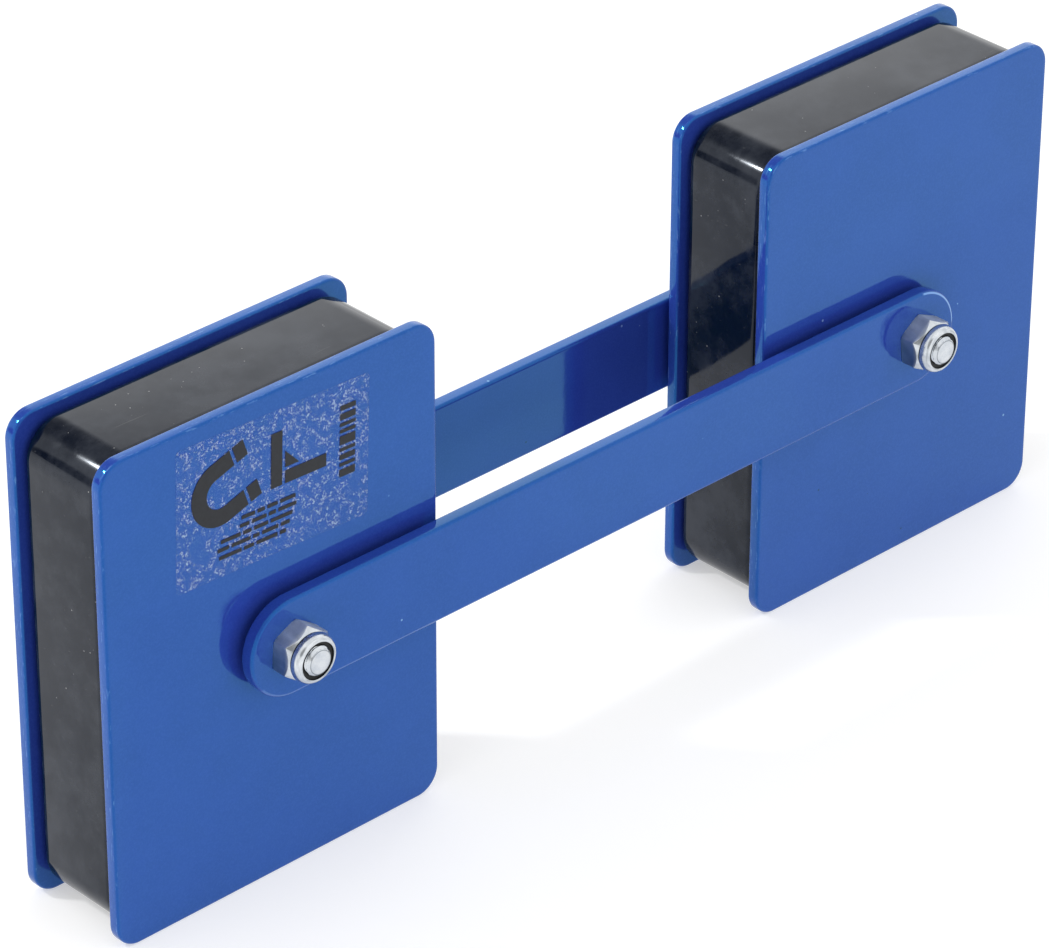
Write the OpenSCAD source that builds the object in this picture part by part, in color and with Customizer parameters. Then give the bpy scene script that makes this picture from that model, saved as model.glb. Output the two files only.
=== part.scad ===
// Twin welding magnet holder: two magnet pods that turn on bolts between two flat arms.
// Millimetres, +Z up, +X from the left pod to the right pod, the nuts face -Y.
// Origin: middle of the footprint, on the plane that the pods stand on.

/* [Magnet pod] */
// Width of a pod plate
plate_w = 78; // [66:1:90]
// Height of a pod plate
plate_h = 101; // [88:1:116]
// Thickness of a pod plate
plate_t = 2.5; // [2:0.1:3.5]
// Corner radius of a pod plate
plate_r = 5; // [3:0.5:8]
// Thickness of the moulded case between the plates
case_t = 21; // [16:0.5:26]
// How far the case stands back from the plates' edges
case_inset = 1.5; // [0.5:0.1:3]
// Corner radius of the case
case_r = 7.5; // [5:0.5:9]
// Rounding of the case's rims, where it meets the plates
case_rim_r = 2.5; // [1:0.1:3]
// Thickness of the case's outer wall
case_wall = 5; // [4.5:0.1:6]
// Width of the two ribs that cross at the middle of the case
case_rib = 13; // [12:0.5:16]

/* [Arms] */
// Distance between the two pivot bolts
pivot_spacing = 163; // [152:1:190]
// Width of an arm
arm_w = 20; // [16:0.5:26]
// Thickness of an arm
arm_t = 3; // [2:0.1:4]

/* [Fasteners] */
// Thread diameter of the bolts
bolt_d = 6; // [5:0.5:6]
// Width across the flats of the nuts and bolt heads
hex_af = 10; // [9.5:0.1:11]
// Height of a bolt head
head_h = 4; // [3.5:0.1:4.5]
// Whole height of a lock nut, collar included
nut_h = 6.6; // [5.8:0.1:7]
// How far a bolt's end stands out of its nut
bolt_end = 0.6; // [0.4:0.1:3]
// Outer diameter of the washers
washer_d = 12; // [11:0.5:14]
// Thickness of the washers
washer_t = 1.6; // [1.2:0.1:2]
// Turn of the left nut about its bolt, in degrees
left_nut_turn = -4; // [-30:1:30]
// Turn of the right nut about its bolt, in degrees
right_nut_turn = 6; // [-30:1:30]

/* [Label] */
// Width of the film label on the left pod
label_w = 45; // [30:1:60]
// Height of the film label
label_h = 29; // [20:1:32]

/* [Hidden] */

LEFT = -1;
RIGHT = 1;
FRONT = -1;
REAR = 1;
UPPER = 1;
LOWER = -1;

// Finishes
BLUE = "#2f62ab";
BLACK = "#26282b";
ZINC = "#c3c6ca";
FERRITE = "#3a3836";
NYLON = "#17181a";
FILM = "#7f9fcb";

// Fits
running_gap = 0.05;
bolt_hole_d = bolt_d + 0.6;
pocket_gap = 0.15;
ring_gap = 0.03;

// The stack along a bolt, measured from the pod's middle plane
pod_half_t = case_t / 2 + plate_t;
arm_inner_y = pod_half_t + washer_t;
arm_outer_y = arm_inner_y + arm_t;
front_reach = arm_outer_y + nut_h + bolt_end;
rear_reach = arm_outer_y + head_h;

// The pod's middle plane stands forward of the origin's Y by this much, so that the origin is mid-depth
mid_y = (front_reach - rear_reach) / 2;
pivot_z = plate_h / 2;

// Case
case_w = plate_w - 2 * case_inset;
case_h = plate_h - 2 * case_inset;
pocket_w = (case_w - case_rib) / 2 - case_wall;
pocket_h = (case_h - case_rib) / 2 - case_wall;
pocket_x = case_rib / 2 + pocket_w / 2;
pocket_z = case_rib / 2 + pocket_h / 2;

// Spacer tube
tube_d = bolt_d + 4;

// Hexagons: the base is broken a little, and the outer end is cut to a cone that reaches end_r
corner_r = hex_af / 2 / cos(30);
base_chamfer = 0.25;
end_r = hex_af / 2 - 0.25;
head_chamfer = 0.6;
nut_chamfer = 1.1;

// Lock nut
hex_h = nut_h - 2.2;
neck_r = hex_af / 2 - 0.4;
neck_h = 0.3;
collar_r = hex_af / 2;
collar_taper = 0.1;
collar_round = 1.1;
shoulder_r = collar_r - collar_taper - collar_round;
lip_t = 0.35;
lip_r = bolt_d / 2 + 0.75;
ring_r = bolt_d / 2 + 1.2;
ring_h = 1.3;

// Thread, drawn as rings
pitch = 1;
thread_depth = 0.54;
thread_crest = 0.14;
thread_count = 12;
thread_end = 0.6;

// Label, placed above the pivot on the left pod
label_t = 0.1;
label_r = 1;
label_z = 32;
label_tilt = 2;

smooth = 72;

// A flat rectangle with round corners
module rounded_rectangle(w, h, r) {
    square([w - 2 * r, h], center = true);
    square([w, h - 2 * r], center = true);
    for (sx = [-1, 1], sz = [-1, 1]) {
        translate([sx * (w / 2 - r), sz * (h / 2 - r)]) circle(r = r, $fn = smooth);
    }
}

// Puts children, drawn about a pivot in the pod's middle plane, on the left or right pivot
module at_pivot(side) {
    translate([side * pivot_spacing / 2, mid_y, pivot_z]) children();
}

// Turns children from standing along Z to lying along Y, with their base at y
module along_y(y) {
    translate([0, y, 0]) rotate([-90, 0, 0]) children();
}

// The same, but growing towards -Y
module along_minus_y(y) {
    translate([0, y, 0]) rotate([90, 0, 0]) children();
}

// One arm lying in front of or behind the pods
module arm(face) {
    color(BLUE)
    translate([0, mid_y, pivot_z]) along_y(face == FRONT ? -arm_outer_y : arm_inner_y)
    linear_extrude(arm_t) difference() {
        union() {
            square([pivot_spacing, arm_w], center = true);
            for (side = [LEFT, RIGHT]) {
                translate([side * pivot_spacing / 2, 0]) circle(d = arm_w, $fn = smooth);
            }
        }
        for (side = [LEFT, RIGHT]) {
            translate([side * pivot_spacing / 2, 0]) circle(d = bolt_hole_d, $fn = smooth);
        }
    }
}

// One steel plate, which is a pole of the magnet
module plate(side, face) {
    color(BLUE)
    at_pivot(side) along_y(face == FRONT ? -pod_half_t : case_t / 2)
    linear_extrude(plate_t) difference() {
        rounded_rectangle(plate_w, plate_h, plate_r);
        circle(d = bolt_hole_d, $fn = smooth);
    }
}

// A solid block with round corners and round rims, lying flat about the origin
module pillow(w, h, t, r, rim_r) {
    rotate([90, 0, 90]) linear_extrude(w - 2 * r, center = true) rounded_rectangle(h, t, rim_r);
    rotate([90, 0, 0]) linear_extrude(h - 2 * r, center = true) rounded_rectangle(w, t, rim_r);
    for (sx = [-1, 1], sz = [-1, 1]) {
        translate([sx * (w / 2 - r), sz * (h / 2 - r), 0])
        rotate_extrude($fn = smooth) intersection() {
            rounded_rectangle(2 * r, t, rim_r);
            translate([0, -t]) square([r + 1, 2 * t]);
        }
    }
}

// The moulded case: an outer wall, four magnet pockets and a rib each way with the bolt's passage
module magnet_case(side) {
    color(BLACK)
    at_pivot(side) along_y(0) difference() {
        pillow(case_w, case_h, case_t, case_r, case_rim_r);
        for (sx = [-1, 1], sz = [-1, 1]) {
            translate([sx * pocket_x, sz * pocket_z, 0])
            cube([pocket_w, pocket_h, case_t + 2], center = true);
        }
        cylinder(d = tube_d + 2 * pocket_gap, h = case_t + 2, center = true, $fn = smooth);
    }
}

// One ferrite block in its pocket: level is upper or lower, column is -1 for left and 1 for right
module magnet(side, level, column) {
    color(FERRITE)
    at_pivot(side) translate([column * pocket_x, 0, level * pocket_z])
    cube([pocket_w - 2 * pocket_gap, case_t, pocket_h - 2 * pocket_gap], center = true);
}

// The tube that keeps the plates apart at the bolt and that the pod turns on
module spacer_tube(side) {
    color(ZINC)
    at_pivot(side) along_y(-case_t / 2) difference() {
        cylinder(d = tube_d, h = case_t, $fn = smooth);
        translate([0, 0, -1]) cylinder(r = bolt_d / 2 + running_gap, h = case_t + 2, $fn = smooth);
    }
}

// A plain washer between an arm and a plate
module washer(side, face) {
    color(ZINC)
    at_pivot(side) along_y(face == FRONT ? -arm_inner_y : pod_half_t) difference() {
        cylinder(d = washer_d, h = washer_t, $fn = smooth);
        translate([0, 0, -1]) cylinder(d = bolt_hole_d, h = washer_t + 2, $fn = smooth);
    }
}

// A hexagonal prism standing on z = 0, with a conical chamfer of the given depth at its outer end
module chamfered_hexagon(h, end_chamfer) {
    intersection() {
        cylinder(r = corner_r, h = h, $fn = 6);
        rotate_extrude($fn = smooth) polygon([
            [0, 0], [corner_r - base_chamfer, 0], [corner_r, base_chamfer],
            [corner_r, h - end_chamfer], [end_r, h], [0, h]
        ]);
    }
}

// The half outline of the threaded end: a chamfer, then one crest and one root for each ring
function thread_outline() = concat(
    [[0, 0], [bolt_d / 2 - thread_end, 0], [bolt_d / 2, thread_end]],
    [for (i = [0:thread_count - 1], step = [0:3])
        let (z = thread_end + thread_crest + i * pitch)
        step == 0 ? [bolt_d / 2, z]
        : step == 1 ? [bolt_d / 2 - thread_depth, z + (pitch - 2 * thread_crest) / 2]
        : step == 2 ? [bolt_d / 2 - thread_depth, z + (pitch - thread_crest) / 2]
        : [bolt_d / 2, z + pitch - thread_crest]]
);

// A hexagon-head bolt, with its head behind the rear arm and its end in front of the nut
module bolt(side, turn) {
    under_head = front_reach + arm_outer_y;
    color(ZINC)
    at_pivot(side) {
        along_y(-front_reach) rotate_extrude($fn = smooth)
            polygon(concat(thread_outline(), [[bolt_d / 2, under_head], [0, under_head]]));
        along_y(arm_outer_y) rotate([0, 0, 30 + turn]) chamfered_hexagon(head_h, head_chamfer);
    }
}

// A lock nut: a hexagon, a neck, and a round collar that is rolled in over the locking ring
module lock_nut(side, turn) {
    color(ZINC)
    at_pivot(side) along_minus_y(-arm_outer_y) rotate([0, 0, 30 + turn]) difference() {
        union() {
            chamfered_hexagon(hex_h, nut_chamfer);
            cylinder(r = neck_r, h = hex_h + neck_h, $fn = smooth);
            translate([0, 0, hex_h + neck_h]) collar(nut_h - hex_h - neck_h);
        }
        translate([0, 0, -1]) cylinder(r = bolt_d / 2 + ring_gap, h = nut_h, $fn = smooth);
        translate([0, 0, nut_h - lip_t - ring_h]) cylinder(r = ring_r, h = ring_h, $fn = smooth);
        translate([0, 0, nut_h - 1]) cylinder(r = lip_r, h = 2, $fn = smooth);
    }
}

// A round collar that narrows upwards and has a rounded upper edge
module collar(h) {
    cylinder(r1 = collar_r, r2 = collar_r - collar_taper, h = h - collar_round, $fn = smooth);
    cylinder(r = shoulder_r, h = h, $fn = smooth);
    translate([0, 0, h - collar_round]) rotate_extrude($fn = smooth)
        translate([shoulder_r, 0]) intersection() {
            circle(r = collar_round, $fn = smooth);
            square(collar_round + 1);
        }
}

// The plastic ring that locks the nut to the thread
module nut_ring(side) {
    color(NYLON)
    at_pivot(side) along_minus_y(-arm_outer_y - nut_h + lip_t + ring_h) difference() {
        cylinder(r = ring_r, h = ring_h, $fn = smooth);
        translate([0, 0, -1]) cylinder(r = bolt_d / 2 + ring_gap, h = ring_h + 2, $fn = smooth);
    }
}

// The clear film on the left pod's front plate
module label() {
    color(FILM)
    at_pivot(LEFT) along_y(-pod_half_t - label_t)
    translate([0, -label_z, 0]) rotate([0, 0, label_tilt])
    linear_extrude(label_t) rounded_rectangle(label_w, label_h, label_r);
}

arm(FRONT);  // front_arm
arm(REAR);  // rear_arm
bolt(LEFT, 11);  // left_bolt
bolt(RIGHT, -6);  // right_bolt
lock_nut(LEFT, left_nut_turn);  // left_nut
lock_nut(RIGHT, right_nut_turn);  // right_nut
nut_ring(LEFT);  // left_nut_ring
nut_ring(RIGHT);  // right_nut_ring
washer(LEFT, FRONT);  // left_front_washer
washer(LEFT, REAR);  // left_rear_washer
washer(RIGHT, FRONT);  // right_front_washer
washer(RIGHT, REAR);  // right_rear_washer
plate(LEFT, FRONT);  // left_front_plate
plate(LEFT, REAR);  // left_rear_plate
plate(RIGHT, FRONT);  // right_front_plate
plate(RIGHT, REAR);  // right_rear_plate
magnet_case(LEFT);  // left_case
magnet_case(RIGHT);  // right_case
spacer_tube(LEFT);  // left_spacer_tube
spacer_tube(RIGHT);  // right_spacer_tube
magnet(LEFT, UPPER, -1);  // left_magnet_upper_outer
magnet(LEFT, UPPER, 1);  // left_magnet_upper_inner
magnet(LEFT, LOWER, -1);  // left_magnet_lower_outer
magnet(LEFT, LOWER, 1);  // left_magnet_lower_inner
magnet(RIGHT, UPPER, 1);  // right_magnet_upper_outer
magnet(RIGHT, UPPER, -1);  // right_magnet_upper_inner
magnet(RIGHT, LOWER, 1);  // right_magnet_lower_outer
magnet(RIGHT, LOWER, -1);  // right_magnet_lower_inner
label();  // label_film
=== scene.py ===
"""Looks of the twin welding magnet holder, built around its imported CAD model. Metres, in the CAD frame."""

import math

import bmesh
import bpy
from mathutils import Matrix, Vector
from mathutils.geometry import tessellate_polygon
from mathutils.noise import noise as smooth_noise


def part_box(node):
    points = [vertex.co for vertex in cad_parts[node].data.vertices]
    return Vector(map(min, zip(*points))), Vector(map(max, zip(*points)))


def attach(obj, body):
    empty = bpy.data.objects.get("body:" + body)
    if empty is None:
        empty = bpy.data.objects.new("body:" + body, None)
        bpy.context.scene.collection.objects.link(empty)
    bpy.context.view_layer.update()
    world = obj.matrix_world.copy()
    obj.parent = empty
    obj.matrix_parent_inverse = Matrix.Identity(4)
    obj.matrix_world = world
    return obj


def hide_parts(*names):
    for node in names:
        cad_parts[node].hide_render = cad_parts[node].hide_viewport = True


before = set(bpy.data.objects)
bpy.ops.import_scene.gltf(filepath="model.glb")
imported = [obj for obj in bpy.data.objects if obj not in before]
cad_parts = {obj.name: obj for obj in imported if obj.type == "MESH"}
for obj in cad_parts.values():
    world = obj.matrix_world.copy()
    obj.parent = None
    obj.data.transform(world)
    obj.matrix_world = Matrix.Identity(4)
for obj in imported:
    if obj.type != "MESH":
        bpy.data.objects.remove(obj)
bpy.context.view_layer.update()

MM = 0.001
SIDES = ("left", "right")

# Sizes that the CAD nodes' boxes don't say
PLATE_CORNER = 5 * MM
PLATE_EDGE = 0.5 * MM
ARM_EDGE = 0.65 * MM
CASE_CORNER = 7.5 * MM
CASE_RIM = 2.5 * MM
CASE_WALL = 5 * MM
CASE_RIB = 13 * MM
TUBE_R = 5.15 * MM
HOLE_R = 3.3 * MM
BOLT_R = 3 * MM
THREAD_PITCH = 1 * MM
THREAD_DEPTH = 0.54 * MM
THREAD_LENGTH = 7 * MM
THREAD_STEPS = 14
HEX_AF = 10 * MM
HEX_CORNER_R = HEX_AF / 2 / math.cos(math.radians(30))
HEX_END_R = 4.75 * MM
HEX_BASE_CHAMFER = 0.25 * MM
NUT_HEX_H = 4.4 * MM
NUT_CHAMFER = 1.1 * MM
NUT_FACE_R = 4.2 * MM
BORE_CHAMFER = 0.4 * MM
NECK_R = 4.6 * MM
COLLAR_R = 5 * MM
COLLAR_ROUND = 1.1 * MM
COLLAR_RISE = 1.5 * MM
SHOULDER_R = 3.82 * MM
LIP_R = 3.75 * MM
HEAD_CHAMFER = 0.6 * MM
HEAD_FACE_R = 4.4 * MM
TIP_CHAMFER = 0.6 * MM
TIP_DENT_R = 1.7 * MM
# How far the rings beside a crease lie from it, so that it stays crisp
CREASE_GAP = 0.035 * MM
# Lean of the collar's side, in degrees
COLLAR_TAPER = 8
RING_GAP = 0.03 * MM
# Where round a nut its painted shade is strongest: the lower left side
SHADED_SIDE = math.radians(195)
LABEL_TILT = math.radians(2)
LABEL_CORNER = 1 * MM
FILM_GAP = 0.01 * MM
NUT_TURN = {"left": 26, "right": 36}
HEAD_TURN = {"left": -41, "right": -24}

# Camera, found from the straight edges of the object's picture
CAMERA_TARGET = Vector((-8.14, 1.6, 48.66)) * MM
CAMERA_DISTANCE = 1045.29 * MM
CAMERA_AZIMUTH = math.radians(-43.532)
CAMERA_ELEVATION = math.radians(30.914)
CAMERA_ROLL = math.radians(0.188)
CAMERA_LENS = 190.31
CAMERA_SENSOR = 36
CAMERA_CLIP = 0.05

# Radiance of the white tent round the object
TENT = 1.2
# Radiance of the lit floor's own glow
FLOOR_GLOW = 0.46
FLOOR_HALF_SIZE = 12
# Patches of the tent: direction, inner and outer angle in degrees, and share of the even radiance
TENT_PATCHES = (
    ((0.06, 0.62, 0.78), 14, 35, 0.22),
    ((-0.76, 0.62, 0.10), 7, 13, 0.05),
    ((-0.59, -0.62, 0.51), 12, 28, 0.35),
    ((0.62, 0.60, 0.50), 22, 36, 1.50),
)
SPARK_DIRECTION = (-0.51, 0.50, 0.62)
SPARK_DISTANCE = 1.3
SPARK_SIZE = (0.10, 0.10)
SPARK_RADIANCE = 180.0
SPARK_AIM = Vector((0, 0, 50)) * MM

# The label's print, in millimetres from the middle of the film, along and up its edges
INK_OUT = 0.012 * MM
INK_IN = 0.02 * MM
MAGNET_OUTER_R = 6.6
MAGNET_INNER_R = 3.1
MAGNET_LEG = 4.6
MAGNET_TIP = 2.6
MAGNET_GAP = 0.7
MAGNET_PLACE = (-12.4, 2.6, 20)
WELD_CORNER = (
    ((0, 0), (2.6, 0), (2.6, 11), (0, 11)),
    ((3.3, 0), (13, 0), (13, 2.6), (3.3, 2.6)),
    ((3.3, 3.3), (6.6, 3.3), (3.3, 6.6)),
)
CORNER_PLACE = (-0.6, -1.0, 0)
# Each row of bars: where it starts, and how long its bars are
BAR_ROWS = (
    (-7.4, -4.6, (3.1, 1.7, 2.4, 3.6)),
    (-7.8, -6.2, (2.2, 3.4, 1.6, 4.2)),
    (-12.2, -7.8, (4.6, 1.9, 3.3, 5.1)),
    (-13.0, -9.4, (2.7, 4.4, 1.5, 3.8, 2.1)),
    (-12.6, -11.0, (5.2, 2.3, 4.9, 1.4)),
)
BAR_THICKNESS = 0.75
BAR_GAP = 0.6
STROKES_AT = (15.6, -4.6)
STROKE_LENGTH = 3.7
STROKE_GAP = 0.62
STROKES = (1.5, 0.7, 1.1, 0.7, 1.8, 0.7, 0.7, 1.3, 1.0)


# Meshes

def add_piece(name, vertices, faces, body, finish, replaced=(), sharp=32, marks=None):
    """One smooth-shaded object from vertices and faces, with edges over the sharp angle kept sharp.
    marks holds more values for each vertex, by the name that the finish reads them under."""
    mesh = bpy.data.meshes.new(name)
    mesh.from_pydata(vertices, [], faces)
    shape = bmesh.new()
    shape.from_mesh(mesh)
    even_out_caps(shape)
    bmesh.ops.recalc_face_normals(shape, faces=shape.faces)
    shape.to_mesh(mesh)
    shape.free()
    mesh.polygons.foreach_set("use_smooth", [True] * len(mesh.polygons))
    mesh.set_sharp_from_angle(angle=math.radians(sharp))
    mesh.materials.append(finish)
    for label, values in (marks or {}).items():
        mesh.attributes.new(label, "FLOAT", "POINT").data.foreach_set("value", values)
    piece = bpy.data.objects.new(name, mesh)
    bpy.context.scene.collection.objects.link(piece)
    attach(piece, body)
    if replaced:
        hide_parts(*replaced)


def even_out_caps(shape):
    """Turns the edges between a flat end's triangles so that none of them is left without an area."""
    inner = []
    for edge in shape.edges:
        heights = [vertex.co.y for face in edge.link_faces for vertex in face.verts]
        triangles = all(len(face.verts) == 3 for face in edge.link_faces)
        if triangles and max(heights) - min(heights) < 1e-9:
            inner.append(edge)
    around = {face for edge in inner for face in edge.link_faces}
    in_order = sorted(around, key=lambda face: face.index)
    bmesh.ops.beautify_fill(shape, faces=in_order, edges=inner)


def arc(centre_x, centre_z, radius, start, stop, steps):
    """Points along an arc in the XZ plane, angles in degrees from +X towards +Z."""
    angles = [math.radians(start + (stop - start) * i / steps) for i in range(steps + 1)]
    return [(centre_x + radius * math.cos(a), centre_z + radius * math.sin(a)) for a in angles]


def rounded_rectangle(centre_x, centre_z, width, height, radius, steps=12):
    """Gives the function outline(inset) of a rectangle with round corners."""
    def outline(inset):
        points = []
        corners = ((1, 1, 0), (-1, 1, 90), (-1, -1, 180), (1, -1, 270))
        for side_x, side_z, start in corners:
            x = centre_x + side_x * (width / 2 - radius)
            z = centre_z + side_z * (height / 2 - radius)
            points += arc(x, z, radius - inset, start, start + 90, steps)
        return points
    return outline


def stadium(centre_z, low_x, high_x, radius, steps=40):
    """Gives the function outline(inset) of a strip with round ends."""
    def outline(inset):
        points = arc(high_x - radius, centre_z, radius - inset, -90, 90, steps)
        points += arc(low_x + radius, centre_z, radius - inset, 90, 270, steps)
        return points
    return outline


def circle(centre_x, centre_z, radius, steps=48):
    return arc(centre_x, centre_z, radius, 0, 360 * (1 - 1 / steps), steps - 1)


def rectangle(centre_x, centre_z, width, height):
    return [(centre_x + sx * width / 2, centre_z + sz * height / 2)
            for sx, sz in ((1, 1), (-1, 1), (-1, -1), (1, -1))]


def slab(outline, holes, front, back, edge, steps=5, support=0.4 * MM):
    """A flat part between two Y planes, with its outer rims rounded by edge and straight holes.
    Also gives each vertex's rim value, which is 1 on the outer side and its roundings."""
    profile = [(edge + support, front)]
    for k in range(steps + 1):
        turn = math.radians(90 * k / steps)
        profile.append((edge * (1 - math.sin(turn)), front + edge * (1 - math.cos(turn))))
    profile += [(inset, front + back - y) for inset, y in reversed(profile)]
    vertices = []
    rims = []
    for inset, y in profile:
        for x, z in outline(inset):
            vertices.append((x, y, z))
            rims.append(1.0 if inset < edge * 0.95 else 0.0)
    count = len(outline(0))
    faces = ring_faces(0, count, len(profile))
    loops = [(0, (len(profile) - 1) * count, count)]
    for hole in holes:
        start = len(vertices)
        vertices += [(x, front, z) for x, z in hole]
        vertices += [(x, back, z) for x, z in hole]
        faces += ring_faces(start, len(hole), 2)
        loops.append((start, start + len(hole), len(hole)))
    for level in (0, 1):
        indices = [loop[level] + i for loop in loops for i in range(loop[2])]
        polylines = [
            [flattened(vertices[loop[level] + i]) for i in range(loop[2])]
            for loop in loops
        ]
        faces += [tuple(indices[i] for i in triangle) for triangle in tessellate_polygon(polylines)]
    rims += [0.0] * (len(vertices) - len(rims))
    return vertices, faces, rims


def flattened(vertex):
    """A vertex as seen along Y."""
    return Vector((vertex[0], vertex[2], 0))


def ring_faces(start, count, rings, closed=False):
    """Quads between rings of count vertices; closed also joins the last ring to the first."""
    faces = []
    for ring in range(rings if closed else rings - 1):
        low = start + ring * count
        high = start + (ring + 1) % rings * count
        for i in range(count):
            j = (i + 1) % count
            faces.append((low + i, low + j, high + j, high + i))
    return faces


def prism(points, front, back):
    """A thin flat shape between two Y planes."""
    count = len(points)
    vertices = [(x, y, z) for y in (front, back) for x, z in points]
    faces = ring_faces(0, count, 2)
    outline = [[Vector((x, z, 0)) for x, z in points]]
    for triangle in tessellate_polygon(outline):
        faces.append(tuple(triangle))
        faces.append(tuple(count + i for i in triangle))
    return vertices, faces


def hexagon(turn, corner_round=0.18 * MM, corner_steps=5, flat_steps=9):
    """(angle, radius) pairs round a hexagon with slightly rounded corners."""
    result = []
    centre = (HEX_AF / 2 - corner_round) / math.cos(math.radians(30))
    for k in range(6):
        corner = 60 * k
        points = []
        for i in range(corner_steps + 1):
            lean = math.radians(-30 + 60 * i / corner_steps)
            points.append((centre + corner_round * math.cos(lean), corner_round * math.sin(lean)))
        start_angle = math.atan2(points[-1][1], points[-1][0])
        for x, z in points:
            result.append((math.radians(turn + corner) + math.atan2(z, x), math.hypot(x, z)))
        stop_angle = math.radians(60) - start_angle
        for i in range(1, flat_steps):
            angle = start_angle + (stop_angle - start_angle) * i / flat_steps
            radius = HEX_AF / 2 / math.cos(angle - math.radians(30))
            result.append((math.radians(turn + corner) + angle, radius))
    return result


def turned(spokes, rings, x, y, z, direction, closed=False, rolled=0.0):
    """A part turned about a line along Y. Each ring is a function of a spoke's angle and hexagon radius
    that gives (radius, height), with how dark its painted shade is and how drawn its metal is. Heights grow
    from y in the given direction. rolled is how strong the marks of rolling are, and how strong the painted
    shade is on the flats facing SHADED_SIDE."""
    vertices = []
    marks = {"dark": [], "drawn": []}
    for number, (ring, dark, drawn) in enumerate(rings):
        for angle, hex_r in spokes:
            radius, height = ring(angle, hex_r)
            vertices.append((
                x + radius * math.cos(angle), y + direction * height, z + radius * math.sin(angle)))
            around = Vector((math.cos(angle) * 1.9 + x * 90, math.sin(angle) * 1.9, number * 0.45))
            # Painted shade on the drawn flats that face SHADED_SIDE, which are also left less drawn
            side_shade = rolled * drawn * max(0.0, math.cos(angle - SHADED_SIDE)) ** 2
            marks["dark"].append(min(1.0, dark + 0.5 * side_shade + rolled * abs(smooth_noise(around))))
            marks["drawn"].append(drawn - side_shade)
    count = len(spokes)
    faces = ring_faces(0, count, len(rings), closed)
    if not closed:
        faces += [tuple(range(count)), tuple(range(len(vertices) - count, len(vertices)))]
    return vertices, faces, marks


def plain(radius, height, dark=0.0):
    """A round ring, darkened by painted shade as strong as dark."""
    return lambda angle, hex_r: (radius, height), dark, 0.0


def hex_ring(height, limit=HEX_CORNER_R):
    """A ring round the hexagon's flats, no wider than limit."""
    return lambda angle, hex_r: (min(hex_r, limit), height), 0.0, 1.0


def crease_ring(height, depth, offset):
    """A ring beside the crease between the flats and an end chamfer of that depth that ends at height.
    A negative offset lies on the flats, and a positive one on the chamfer."""
    slope = depth / (HEX_CORNER_R - HEX_END_R)

    def ring(angle, hex_r):
        crease = height - depth + (HEX_CORNER_R - hex_r) * slope
        if offset < 0:
            return hex_r, crease + offset
        return hex_r - offset / slope, crease + offset
    return ring, 0.0, 1.0 if offset < 0 else 0.0


# Materials

def new_material(name):
    material = bpy.data.materials.new(name)
    material.use_nodes = True
    tree = material.node_tree
    shader = next(n for n in tree.nodes if n.type == "BSDF_PRINCIPLED")
    return material, tree, shader


def add_node(tree, kind, inputs=None, **settings):
    """A node whose inputs are linked where a socket is given, and set otherwise."""
    made = tree.nodes.new(kind)
    for key, value in settings.items():
        setattr(made, key, value)
    for key, value in (inputs or {}).items():
        put(tree, made.inputs[key], value)
    return made


def put(tree, target, value):
    if isinstance(value, bpy.types.NodeSocket):
        tree.links.new(value, target)
    else:
        target.default_value = value


def sums(tree, operation, *values):
    return add_node(tree, "ShaderNodeMath", dict(enumerate(values)), operation=operation).outputs[0]


def fade(tree, value, low, high, to_low=0.0, to_high=1.0):
    """value mapped smoothly from low..high to to_low..to_high."""
    made = add_node(
        tree, "ShaderNodeMapRange",
        {"Value": value, "From Min": low, "From Max": high, "To Min": to_low, "To Max": to_high},
        interpolation_type="SMOOTHSTEP")
    return made.outputs[0]


def blend_colour(tree, share, first, second):
    made = add_node(tree, "ShaderNodeMix", {0: share, 6: first, 7: second}, data_type="RGBA")
    return made.outputs[2]


def grain(tree, where, scale, detail=2.0, roughness=0.5):
    """Noise from 0 to 1 with features of about 1 / scale metres."""
    made = add_node(
        tree, "ShaderNodeTexNoise",
        {"Vector": where, "Scale": scale, "Detail": detail, "Roughness": roughness})
    return made.outputs[0]


def cells(tree, where, scale):
    """Distance to the nearest of many scattered points, as a share of their usual spacing."""
    made = add_node(tree, "ShaderNodeTexVoronoi", {"Vector": where, "Scale": scale})
    return made.outputs["Distance"]


def stretched(tree, where, turn, scale):
    """Coordinates scaled unevenly and then turned, which draws noise out into lines."""
    made = add_node(
        tree, "ShaderNodeMapping", {"Vector": where, "Rotation": turn, "Scale": scale})
    return made.outputs[0]


def relief(tree, height, distance, strength, under=None):
    """A bumped normal, on top of the one under it."""
    inputs = {"Height": height, "Distance": distance, "Strength": strength}
    if under is not None:
        inputs["Normal"] = under
    return add_node(tree, "ShaderNodeBump", inputs).outputs[0]


def place(tree):
    return add_node(tree, "ShaderNodeTexCoord").outputs["Object"]


def mark(tree, name):
    """A value that the mesh carries, 0 where it has none."""
    return add_node(tree, "ShaderNodeAttribute", attribute_name=name).outputs["Fac"]


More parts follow.
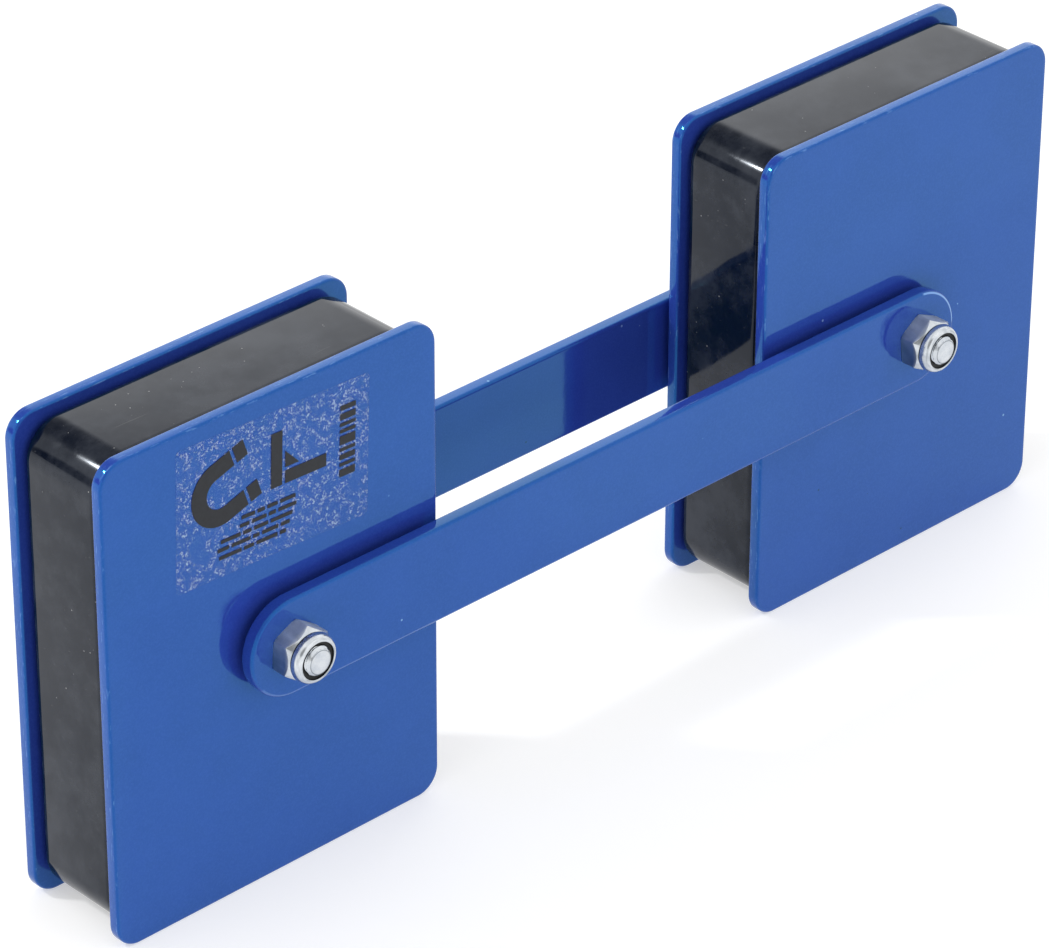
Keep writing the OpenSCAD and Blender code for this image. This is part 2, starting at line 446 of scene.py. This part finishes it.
def powder_coat():
    """Glossy blue powder on steel: faint orange peel, clouds, specks and pits, painted pale highlight
    streaks on the plates' rims, and a painted highlight line on the arms' front edges.
    """
    material, tree, shader = new_material("blue_powder_coat")
    where = place(tree)
    clouds = fade(tree, grain(tree, where, 55, 3, 0.6), 0.3, 0.7)
    fine = grain(tree, where, 2600, 2, 0.6)
    colour = blend_colour(tree, clouds, (0.0185, 0.0425, 0.284, 1), (0.0210, 0.0485, 0.314, 1))
    colour = blend_colour(tree, fade(tree, fine, 0.35, 0.75, 0, 0.5), colour, (0.032, 0.066, 0.374, 1))
    speck = fade(tree, cells(tree, where, 190), 0.035, 0.06, 1, 0)
    chosen = fade(tree, grain(tree, where, 90, 1), 0.6, 0.63)
    colour = blend_colour(tree, sums(tree, "MULTIPLY", speck, chosen), colour, (0.20, 0.32, 0.60, 1))
    pit = fade(tree, cells(tree, where, 80), 0.014, 0.022, 0.8, 0)
    colour = blend_colour(tree, pit, colour, (0.006, 0.010, 0.040, 1))
    lines = grain(tree, stretched(tree, where, (0, 0, 0), (300, 2600, 300)), 1, 3, 0.6)
    # Painted highlight: pale broken streaks along the plates' rims, where the rounded edges catch the light
    painted_rim_glint = sums(tree, "MULTIPLY", fade(tree, lines, 0.58, 0.72), mark(tree, "rim"))
    colour = blend_colour(tree, sums(tree, "MULTIPLY", painted_rim_glint, 0.4), colour, (0.20, 0.32, 0.68, 1))
    # Painted highlight: a pale line along the arms' front edges, where they catch the light
    colour = blend_colour(tree, mark(tree, "painted_edge_glint"), colour, (0.30, 0.46, 0.85, 1))
    tree.links.new(colour, shader.inputs["Base Color"])
    rough = fade(tree, fine, 0.3, 0.7, 0.04, 0.08)
    tree.links.new(
        sums(tree, "ADD", rough, sums(tree, "MULTIPLY", painted_rim_glint, 0.2)), shader.inputs["Roughness"])
    shader.inputs["IOR"].default_value = 1.78
    shader.inputs["Specular Tint"].default_value = (0.02, 0.66, 0.99, 1)
    peel = relief(tree, grain(tree, where, 900, 1.5, 0.5), 0.006 * MM, 0.9)
    cut = relief(tree, sums(tree, "MULTIPLY", lines, mark(tree, "rim")), 0.012 * MM, 0.7, peel)
    tree.links.new(relief(tree, fine, 0.0015 * MM, 0.8, cut), shader.inputs["Normal"])
    return material


def case_plastic():
    """Glossy black moulded plastic: slight waves, handling haze, dust and fine scratches."""
    material, tree, shader = new_material("black_case")
    where = place(tree)
    haze = fade(tree, grain(tree, where, 75, 6, 0.72), 0.40, 0.68)
    dust = fade(tree, cells(tree, where, 520), 0.05, 0.085, 1, 0)
    chosen = fade(tree, grain(tree, where, 130, 2), 0.54, 0.60)
    dust = sums(tree, "MULTIPLY", dust, chosen)
    scratch = grain(tree, stretched(tree, where, (0.3, 0.5, 0.2), (40, 900, 2400)), 1, 1)
    scratch = fade(tree, scratch, 0.74, 0.80)
    colour = blend_colour(tree, haze, (0.0015, 0.0035, 0.0100, 1), (0.0200, 0.0235, 0.0330, 1))
    colour = blend_colour(tree, dust, colour, (0.26, 0.26, 0.26, 1))
    colour = blend_colour(tree, sums(tree, "MULTIPLY", scratch, 0.25), colour, (0.12, 0.12, 0.12, 1))
    tree.links.new(colour, shader.inputs["Base Color"])
    rough = fade(tree, haze, 0, 1, 0.06, 0.15)
    tree.links.new(
        sums(tree, "ADD", rough, sums(tree, "MULTIPLY", dust, 0.4)), shader.inputs["Roughness"])
    shader.inputs["Specular IOR Level"].default_value = 0.30
    shader.inputs["Specular Tint"].default_value = (0.84, 0.91, 1.0, 1)
    waves = relief(tree, grain(tree, where, 32, 1.5), 0.7 * MM, 0.8)
    fine = relief(tree, grain(tree, where, 1500, 2), 0.0015 * MM, 0.6, waves)
    tree.links.new(fine, shader.inputs["Normal"])
    return material


def zinc():
    """Zinc plated steel: bright where it is turned, duller and finely lined where it is drawn, darker where
    shade is painted on.
    """
    material, tree, shader = new_material("zinc_plate")
    where = place(tree)
    drawn = mark(tree, "drawn")
    blotch = fade(tree, grain(tree, where, 420, 3, 0.6), 0.3, 0.7)
    lines = grain(tree, stretched(tree, where, (0, 0.6, 0), (900, 5200, 9000)), 1, 2)
    colour = blend_colour(tree, blotch, (0.56, 0.60, 0.65, 1), (0.70, 0.73, 0.76, 1))
    # Painted shade: darkens the bores, the groove under the collar, the inside of the lip, the thread, the
    # tip's edge line and the nuts' lower left flats, besides random marks of rolling
    colour = blend_colour(tree, mark(tree, "dark"), colour, (0.06, 0.085, 0.11, 1))
    tree.links.new(colour, shader.inputs["Base Color"])
    shader.inputs["Metallic"].default_value = 1
    rough = fade(tree, lines, 0.3, 0.7, 0.14, 0.22)
    tree.links.new(
        sums(tree, "ADD", rough, sums(tree, "MULTIPLY", drawn, 0.36)), shader.inputs["Roughness"])
    fine = relief(tree, grain(tree, where, 1900, 2), 0.003 * MM, 0.5)
    hatch = relief(tree, sums(tree, "MULTIPLY", lines, drawn), 0.003 * MM, 0.8, fine)
    tree.links.new(hatch, shader.inputs["Normal"])
    return material


def nylon():
    """The lock ring's dark plastic."""
    material, tree, shader = new_material("nylon")
    where = place(tree)
    mottle = grain(tree, where, 800, 3)
    colour = blend_colour(tree, mottle, (0.0025, 0.003, 0.003, 1), (0.008, 0.009, 0.009, 1))
    tree.links.new(colour, shader.inputs["Base Color"])
    tree.links.new(fade(tree, mottle, 0.3, 0.7, 0.35, 0.5), shader.inputs["Roughness"])
    shader.inputs["Specular IOR Level"].default_value = 0.25
    tree.links.new(relief(tree, mottle, 0.02 * MM, 0.5), shader.inputs["Normal"])
    return material


def ferrite():
    """Sintered ferrite: dark grey ceramic, ground and a little pitted."""
    material, tree, shader = new_material("ferrite")
    where = place(tree)
    mottle = grain(tree, where, 700, 4, 0.7)
    pits = fade(tree, cells(tree, where, 900), 0.12, 0.3)
    colour = blend_colour(tree, mottle, (0.022, 0.021, 0.020, 1), (0.065, 0.062, 0.058, 1))
    tree.links.new(colour, shader.inputs["Base Color"])
    tree.links.new(fade(tree, mottle, 0.3, 0.7, 0.5, 0.7), shader.inputs["Roughness"])
    tree.links.new(relief(tree, pits, 0.02 * MM, 0.6), shader.inputs["Normal"])
    return material


def clear_film():
    """A clear film on the coat, with many tiny whitish air marks under it and a faint pale edge."""
    material, tree, shader = new_material("clear_film")
    where = place(tree)
    spots = fade(tree, grain(tree, where, 2500, 3, 0.7), 0.47, 0.66)
    chosen = fade(tree, grain(tree, where, 620, 2), 0.38, 0.56)
    crowd = fade(tree, grain(tree, where, 150, 2), 0.30, 0.46)
    marks = sums(tree, "MULTIPLY", sums(tree, "MULTIPLY", spots, chosen), crowd)
    edge = mark(tree, "rim")
    colour = blend_colour(tree, marks, (0.34, 0.42, 0.74, 1), (0.45, 0.50, 0.76, 1))
    colour = blend_colour(tree, edge, colour, (0.12, 0.23, 0.56, 1))
    tree.links.new(colour, shader.inputs["Base Color"])
    cover = sums(
        tree, "MAXIMUM", fade(tree, marks, 0.12, 1, 0.01, 0.60), sums(tree, "MULTIPLY", edge, 0.35))
    tree.links.new(cover, shader.inputs["Alpha"])
    tree.links.new(fade(tree, marks, 0, 1, 0.12, 0.40), shader.inputs["Roughness"])
    shader.inputs["Specular Tint"].default_value = (0.55, 0.72, 1.0, 1)
    tree.links.new(relief(tree, marks, 0.002 * MM, 0.3), shader.inputs["Normal"])
    return material


def label_ink():
    """The film's dark print, with a slightly uneven cover."""
    material, tree, shader = new_material("label_ink")
    where = place(tree)
    uneven = grain(tree, where, 900, 3, 0.6)
    colour = blend_colour(tree, uneven, (0.006, 0.007, 0.009, 1), (0.022, 0.025, 0.032, 1))
    tree.links.new(colour, shader.inputs["Base Color"])
    tree.links.new(fade(tree, uneven, 0.3, 0.7, 0.30, 0.42), shader.inputs["Roughness"])
    shader.inputs["Specular IOR Level"].default_value = 0.25
    tree.links.new(relief(tree, uneven, 0.005 * MM, 0.5), shader.inputs["Normal"])
    return material


def floor_paint():
    """Matt pale grey that also glows, so that it stays near white."""
    material, tree, shader = new_material("pale_floor")
    where = place(tree)
    tone = grain(tree, where, 3, 2)
    colour = blend_colour(tree, tone, (0.61, 0.61, 0.61, 1), (0.63, 0.63, 0.63, 1))
    tree.links.new(colour, shader.inputs["Base Color"])
    shader.inputs["Roughness"].default_value = 0.9
    shader.inputs["Specular IOR Level"].default_value = 0.0
    shader.inputs["Emission Color"].default_value = (1, 1, 1, 1)
    shader.inputs["Emission Strength"].default_value = FLOOR_GLOW
    return material


BLUE = powder_coat()
CASE = case_plastic()
ZINC = zinc()
NYLON = nylon()
FERRITE = ferrite()
FILM = clear_film()
INK = label_ink()


# The object's pieces

def middle(node):
    low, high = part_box(node)
    return (low + high) / 2


def build_plates(side):
    pivot = middle(f"{side}_spacer_tube")
    for face in ("front", "rear"):
        node = f"{side}_{face}_plate"
        low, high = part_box(node)
        centre, size = (low + high) / 2, high - low
        outline = rounded_rectangle(centre.x, centre.z, size.x, size.z, PLATE_CORNER, 14)
        vertices, faces, rims = slab(
            outline, [circle(pivot.x, pivot.z, HOLE_R)], low.y, high.y, PLATE_EDGE)
        add_piece(
            f"{node}_coated", vertices, faces, f"{side}_pod", BLUE, [node],
            marks={"rim": rims})


def build_case(side):
    node = f"{side}_case"
    low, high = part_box(node)
    centre, size = (low + high) / 2, high - low
    pocket_w = (size.x - CASE_RIB) / 2 - CASE_WALL
    pocket_h = (size.z - CASE_RIB) / 2 - CASE_WALL
    holes = [circle(centre.x, centre.z, TUBE_R)]
    for sx in (-1, 1):
        for sz in (-1, 1):
            x = centre.x + sx * (CASE_RIB + pocket_w) / 2
            z = centre.z + sz * (CASE_RIB + pocket_h) / 2
            holes.append(rectangle(x, z, pocket_w, pocket_h))
    outline = rounded_rectangle(centre.x, centre.z, size.x, size.z, CASE_CORNER, 24)
    vertices, faces, _ = slab(outline, holes, low.y, high.y, CASE_RIM, steps=10)
    add_piece(f"{node}_moulding", vertices, faces, f"{side}_pod", CASE, [node])


def build_arm(face):
    node = f"{face}_arm"
    low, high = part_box(node)
    radius = (high.z - low.z) / 2
    pivots = [middle(f"{side}_spacer_tube") for side in SIDES]
    holes = [circle(pivot.x, pivot.z, HOLE_R) for pivot in pivots]
    outline = stadium((low.z + high.z) / 2, low.x, high.x, radius, 48)
    vertices, faces, _ = slab(outline, holes, low.y, high.y, ARM_EDGE, steps=8, support=0.3 * MM)
    # Painted highlight along the arm's front edge, passed to the coat as a mesh value
    painted_edge_glint = [edge_glint_strength(Vector(vertex), low, high, radius) for vertex in vertices]
    add_piece(
        f"{node}_coated", vertices, faces, "links", BLUE, [node],
        marks={"painted_edge_glint": painted_edge_glint})


def edge_glint_strength(vertex, low, high, radius):
    """How much painted highlight a point of an arm gets: a pale line along its front edge, on the bottom and
    round the upper right end, and faintly round the lower left end.
    """
    depth = (vertex.y - low.y) / ARM_EDGE
    centre_x = min(max(vertex.x, low.x + radius), high.x - radius)
    angle = math.degrees(math.atan2(vertex.z - (low.z + high.z) / 2, vertex.x - centre_x))
    if vertex.x > centre_x:
        return 0.7 if 0.01 < depth < 0.2 and 0 < angle < 85 else 0.0
    if vertex.x < centre_x:
        return 0.15 if 0.01 < depth < 0.3 and -140 < angle < 0 else 0.0
    return 0.6 if 0.01 < depth < 0.7 and angle < 0 else 0.0


def build_nut(side):
    """Hexagon with a deep end chamfer, a groove, and a collar rolled in over the locking ring."""
    node = f"{side}_nut"
    low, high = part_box(node)
    pivot = middle(f"{side}_spacer_tube")
    top = high.y - low.y
    ring_low, ring_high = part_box(f"{side}_nut_ring")
    ring_r = (ring_high.x - ring_low.x) / 2
    ring_base = high.y - ring_high.y
    ring_top = high.y - ring_low.y
    bore = BOLT_R + RING_GAP
    # The third value of a plain ring is painted shade: in the bore, the groove under the collar and inside
    # the lip
    rings = [
        plain(ring_r, ring_base, 0.6),
        plain(bore, ring_base, 0.6),
        plain(bore, BORE_CHAMFER),
        plain(bore + BORE_CHAMFER, 0),
        plain(NUT_FACE_R, 0),
        hex_ring(0, HEX_CORNER_R - HEX_BASE_CHAMFER),
        hex_ring(HEX_BASE_CHAMFER * 0.9, HEX_CORNER_R - 0.04 * MM),
        hex_ring(HEX_BASE_CHAMFER * 1.2),
        hex_ring(NUT_HEX_H - NUT_CHAMFER - 0.25 * MM),
        crease_ring(NUT_HEX_H, NUT_CHAMFER, -CREASE_GAP),
        crease_ring(NUT_HEX_H, NUT_CHAMFER, CREASE_GAP),
        plain(HEX_END_R + 0.06 * MM, NUT_HEX_H - 0.07 * MM),
        plain(HEX_END_R, NUT_HEX_H, 0.5),
        plain(NECK_R + 0.04 * MM, NUT_HEX_H + 0.01 * MM, 1.0),
        plain(NECK_R, NUT_HEX_H + 0.05 * MM, 1.0),
        plain(NECK_R, NUT_HEX_H + 0.24 * MM, 1.0),
        plain(NECK_R + 0.05 * MM, NUT_HEX_H + 0.30 * MM, 1.0),
        plain(COLLAR_R - 0.10 * MM, NUT_HEX_H + 0.32 * MM, 0.5),
        plain(COLLAR_R - 0.02 * MM, NUT_HEX_H + 0.40 * MM, 0.1),
    ]
    for k in range(11):
        turn = math.radians(COLLAR_TAPER + (90 - COLLAR_TAPER) * k / 10)
        rings.append(plain(
            SHOULDER_R + COLLAR_ROUND * math.cos(turn), top - COLLAR_RISE * (1 - math.sin(turn))))
    rings += [
        plain(LIP_R + 0.02 * MM, top - 0.02 * MM),
        plain(LIP_R, top - 0.08 * MM, 0.3),
        plain(LIP_R, ring_top + 0.03 * MM, 1.0),
        plain(LIP_R + 0.03 * MM, ring_top, 1.0),
        plain(ring_r, ring_top, 1.0),
    ]
    # rolled also paints shade on the nut's lower left flats
    vertices, faces, marks = turned(
        hexagon(NUT_TURN[side]), rings, pivot.x, high.y, pivot.z, -1, closed=True, rolled=0.6)
    add_piece(
        f"{node}_plated", vertices, faces, "links", ZINC, [node], sharp=40, marks=marks)


def thread_radius(angle, height):
    """The bolt's radius at an angle and a distance from its tip, on a right-hand thread."""
    turn = (height / THREAD_PITCH + angle / math.tau) % 1
    slope = min(abs(turn - 0.5) * 2 * 1.15, 1)
    return BOLT_R - THREAD_DEPTH * (1 - slope)


def build_bolt(side):
    """From the threaded tip in front to the hexagon head behind."""
    node = f"{side}_bolt"
    low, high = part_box(node)
    pivot = middle(f"{side}_spacer_tube")
    length = high.y - low.y
    under_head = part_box("rear_arm")[1].y - low.y
    head_h = length - under_head
    step = THREAD_PITCH / THREAD_STEPS
    tip_r = BOLT_R - TIP_CHAMFER
    # The third value of a plain ring is painted shade, here a dark line round the tip's edge
    rings = [
        plain(0.5 * MM, 0.03 * MM),
        plain(TIP_DENT_R, 0.02 * MM),
        plain(tip_r - 0.16 * MM, 0, 0.1),
        plain(tip_r - 0.06 * MM, 0.02 * MM, 0.8),
    ]

    def threaded(height):
        def ring(angle, hex_r):
            return min(thread_radius(angle, height), tip_r + height), height
        # Painted shade on the thread, strongest next to the tip
        return ring, 0.55 if height < step else 0.12, 0.0

    rings += [threaded(i * step + 0.02 * MM) for i in range(int(THREAD_LENGTH / step))]
    rings += [
        plain(BOLT_R, THREAD_LENGTH + 0.3 * MM),
        plain(BOLT_R, under_head - 0.2 * MM),
        plain(BOLT_R + 0.05 * MM, under_head - 0.05 * MM),
        plain(BOLT_R + 0.2 * MM, under_head),
        plain(HEAD_FACE_R, under_head),
        hex_ring(under_head, HEX_CORNER_R - HEX_BASE_CHAMFER),
        hex_ring(under_head + HEX_BASE_CHAMFER * 0.9, HEX_CORNER_R - 0.04 * MM),
        hex_ring(under_head + HEX_BASE_CHAMFER * 1.2),
        crease_ring(under_head + head_h, HEAD_CHAMFER, -CREASE_GAP),
        crease_ring(under_head + head_h, HEAD_CHAMFER, CREASE_GAP),
        plain(HEX_END_R + 0.06 * MM, length - 0.04 * MM),
        plain(HEX_END_R - 0.05 * MM, length),
        plain(HEX_END_R - 0.5 * MM, length),
        plain(HEX_END_R - 0.65 * MM, length - 0.12 * MM),
        plain(2 * MM, length - 0.14 * MM),
        plain(0.5 * MM, length - 0.14 * MM),
    ]
    spokes = hexagon(HEAD_TURN[side])
    vertices, faces, marks = turned(spokes, rings, pivot.x, low.y, pivot.z, 1)
    add_piece(
        f"{node}_plated", vertices, faces, "links", ZINC, [node], sharp=50, marks=marks)


def build_ring(node, inner, edge, finish, body):
    """A washer or a locking ring: a short tube with rounded rims."""
    low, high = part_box(node)
    centre = (low + high) / 2
    outer = (high.x - low.x) / 2
    height = high.y - low.y
    quarter = [(edge * (1 - math.sin(math.radians(a))), edge * (1 - math.cos(math.radians(a))))
               for a in (0, 30, 60, 90)]
    rings = [plain(outer - inset, rise) for inset, rise in quarter]
    rings += [plain(outer - inset, height - rise) for inset, rise in reversed(quarter)]
    rings += [plain(inner + inset, height - rise) for inset, rise in quarter]
    rings += [plain(inner + inset, rise) for inset, rise in reversed(quarter)]
    spokes = [(math.tau * i / 96, 0) for i in range(96)]
    vertices, faces, marks = turned(spokes, rings, centre.x, low.y, centre.z, 1, closed=True)
    add_piece(f"{node}_detailed", vertices, faces, body, finish, [node], marks=marks)


def build_label():
    """The clear film and its generic print: a magnet, a welded corner, and plain bars."""
    low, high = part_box("label_film")
    centre = (low + high) / 2
    span_x, span_z = high.x - low.x, high.z - low.z
    cos_t, sin_t = math.cos(LABEL_TILT), math.sin(LABEL_TILT)
    shrink = cos_t ** 2 - sin_t ** 2
    width = (span_x * cos_t - span_z * sin_t) / shrink
    height = (span_z * cos_t - span_x * sin_t) / shrink

    def on_label(points):
        """Label coordinates, along and up its edges from its middle, to the CAD frame."""
        return [(centre.x + u * cos_t + v * sin_t, centre.z - u * sin_t + v * cos_t) for u, v in points]

    flat = rounded_rectangle(0, 0, width, height, LABEL_CORNER, 6)
    vertices, faces, rims = slab(
        lambda inset: on_label(flat(inset)), [], low.y, high.y - FILM_GAP, 0.04 * MM, steps=2,
        support=0.1 * MM)
    add_piece(
        "label_film_clear", vertices, faces, "left_pod", FILM, ["label_film"], sharp=60,
        marks={"rim": rims})

    def ink(name, shapes):
        vertices, faces = [], []
        for shape in shapes:
            points = on_label([(u * MM, v * MM) for u, v in shape])
            more, more_faces = prism(points, low.y - INK_OUT, low.y + INK_IN)
            faces += [tuple(len(vertices) + i for i in face) for face in more_faces]
            vertices += more
        add_piece(name, vertices, faces, "left_pod", INK, sharp=60)

    def turned_shape(points, u, v, degrees):
        c, s = math.cos(math.radians(degrees)), math.sin(math.radians(degrees))
        return [(u + a * c - b * s, v + a * s + b * c) for a, b in points]

    def bar(u, v, length, thickness):
        return [(u, v), (u + length, v), (u + length, v + thickness), (u, v + thickness)]

    ends = [
        bar(MAGNET_LEG + MAGNET_GAP, edge, MAGNET_TIP, MAGNET_OUTER_R - MAGNET_INNER_R)
        for edge in (MAGNET_INNER_R, -MAGNET_OUTER_R)
    ]
    ink("label_print_magnet", [turned_shape(shape, *MAGNET_PLACE) for shape in (magnet_bow(), *ends)])
    ink("label_print_corner", [turned_shape(shape, *CORNER_PLACE) for shape in WELD_CORNER])

    bars = []
    for u, v, lengths in BAR_ROWS:
        for length in lengths:
            bars.append(bar(u, v, length, BAR_THICKNESS))
            u += length + BAR_GAP
    ink("label_print_bars", bars)

    strokes = []
    u, v = STROKES_AT
    for thickness in STROKES:
        strokes.append(bar(u, v, STROKE_LENGTH, thickness))
        v += thickness + STROKE_GAP
    ink("label_print_strokes", strokes)


def magnet_bow():
    """The outline of a horseshoe magnet without its two ends."""
    outer = arc(0, 0, MAGNET_OUTER_R, 90, 270, 28)
    inner = arc(0, 0, MAGNET_INNER_R, 270, 90, 28)
    low_leg = [(MAGNET_LEG, -MAGNET_OUTER_R), (MAGNET_LEG, -MAGNET_INNER_R)]
    high_leg = [(MAGNET_LEG, MAGNET_INNER_R), (MAGNET_LEG, MAGNET_OUTER_R)]
    return outer + low_leg + inner + high_leg


for side in SIDES:
    build_plates(side)
    build_case(side)
    build_nut(side)
    build_bolt(side)
    build_ring(f"{side}_nut_ring", BOLT_R + RING_GAP, 0.1 * MM, NYLON, "links")
    for face in ("front", "rear"):
        build_ring(f"{side}_{face}_washer", HOLE_R, 0.15 * MM, ZINC, "links")
for face in ("front", "rear"):
    build_arm(face)
build_label()

for name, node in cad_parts.items():
    if node.hide_render:
        continue
    node.data.materials.clear()
    node.data.materials.append(FERRITE if "magnet" in name else ZINC)


# Stage, light and camera

def build_floor():
    mesh = bpy.data.meshes.new("floor")
    size = FLOOR_HALF_SIZE
    corners = [(x * size, y * size, 0) for x, y in ((-1, -1), (1, -1), (1, 1), (-1, 1))]
    mesh.from_pydata(corners, [], [(0, 1, 2, 3)])
    mesh.materials.append(floor_paint())
    floor = bpy.data.objects.new("floor", mesh)
    bpy.context.scene.collection.objects.link(floor)


def add_light(name, direction, distance, size, radiance, aim):
    """A flat softbox of that radiance, which faces aim from a direction."""
    light = bpy.data.lights.new(name, "AREA")
    light.shape = "RECTANGLE"
    light.size, light.size_y = size
    light.energy = radiance * math.pi * size[0] * size[1]
    lamp = bpy.data.objects.new(name, light)
    towards = Vector(direction).normalized()
    lamp.location = aim + towards * distance
    lamp.rotation_mode = "QUATERNION"
    lamp.rotation_quaternion = (-towards).to_track_quat("-Z", "Y")
    bpy.context.scene.collection.objects.link(lamp)


def build_world():
    """A white tent: even light all round, but for three dimmer patches, one of them round the camera,
    and a brighter one behind on the right. The camera itself sees plain white."""
    world = bpy.data.worlds.new("studio")
    bpy.context.scene.world = world
    world.use_nodes = True
    tree = world.node_tree
    background = next(n for n in tree.nodes if n.type == "BACKGROUND")
    direction = add_node(tree, "ShaderNodeTexCoord").outputs["Generated"]

    def lobe(towards, inner, outer):
        """1 within the inner angle of a direction, fading to 0 at the outer one."""
        axis = tuple(Vector(towards).normalized())
        made = add_node(tree, "ShaderNodeVectorMath", {0: direction, 1: axis}, operation="DOT_PRODUCT")
        near, far = math.cos(math.radians(inner)), math.cos(math.radians(outer))
        return fade(tree, made.outputs["Value"], far, near)

    level = TENT
    for towards, inner, outer, share in TENT_PATCHES:
        change = sums(tree, "MULTIPLY", lobe(towards, inner, outer), share - 1)
        level = sums(tree, "MULTIPLY", level, sums(tree, "ADD", 1.0, change))
    seen = add_node(tree, "ShaderNodeLightPath").outputs["Is Camera Ray"]
    unseen = sums(tree, "SUBTRACT", 1.0, seen)
    strength = sums(tree, "ADD", seen, sums(tree, "MULTIPLY", unseen, level))
    put(tree, background.inputs["Strength"], strength)
    put(tree, background.inputs["Color"], (1, 1, 1, 1))


def build_camera():
    data = bpy.data.cameras.new("camera")
    camera = bpy.data.objects.new("camera", data)
    bpy.context.scene.collection.objects.link(camera)
    bpy.context.scene.camera = camera
    data.sensor_width = CAMERA_SENSOR
    data.lens = CAMERA_LENS
    data.clip_start = CAMERA_CLIP
    cos_e, sin_e = math.cos(CAMERA_ELEVATION), math.sin(CAMERA_ELEVATION)
    cos_a, sin_a = math.cos(CAMERA_AZIMUTH), math.sin(CAMERA_AZIMUTH)
    back = Vector((sin_a * cos_e, -cos_a * cos_e, sin_e))
    right = Vector((cos_a, sin_a, 0))
    up = back.cross(right)
    rolled_right = right * math.cos(CAMERA_ROLL) + up * math.sin(CAMERA_ROLL)
    rolled_up = up * math.cos(CAMERA_ROLL) - right * math.sin(CAMERA_ROLL)
    turn = Matrix((rolled_right, rolled_up, back)).transposed().to_4x4()
    camera.matrix_world = Matrix.Translation(CAMERA_TARGET + back * CAMERA_DISTANCE) @ turn


build_floor()
build_world()
build_camera()
add_light("spark", SPARK_DIRECTION, SPARK_DISTANCE, SPARK_SIZE, SPARK_RADIANCE, SPARK_AIM)
bpy.context.scene.view_settings.view_transform = "Standard"
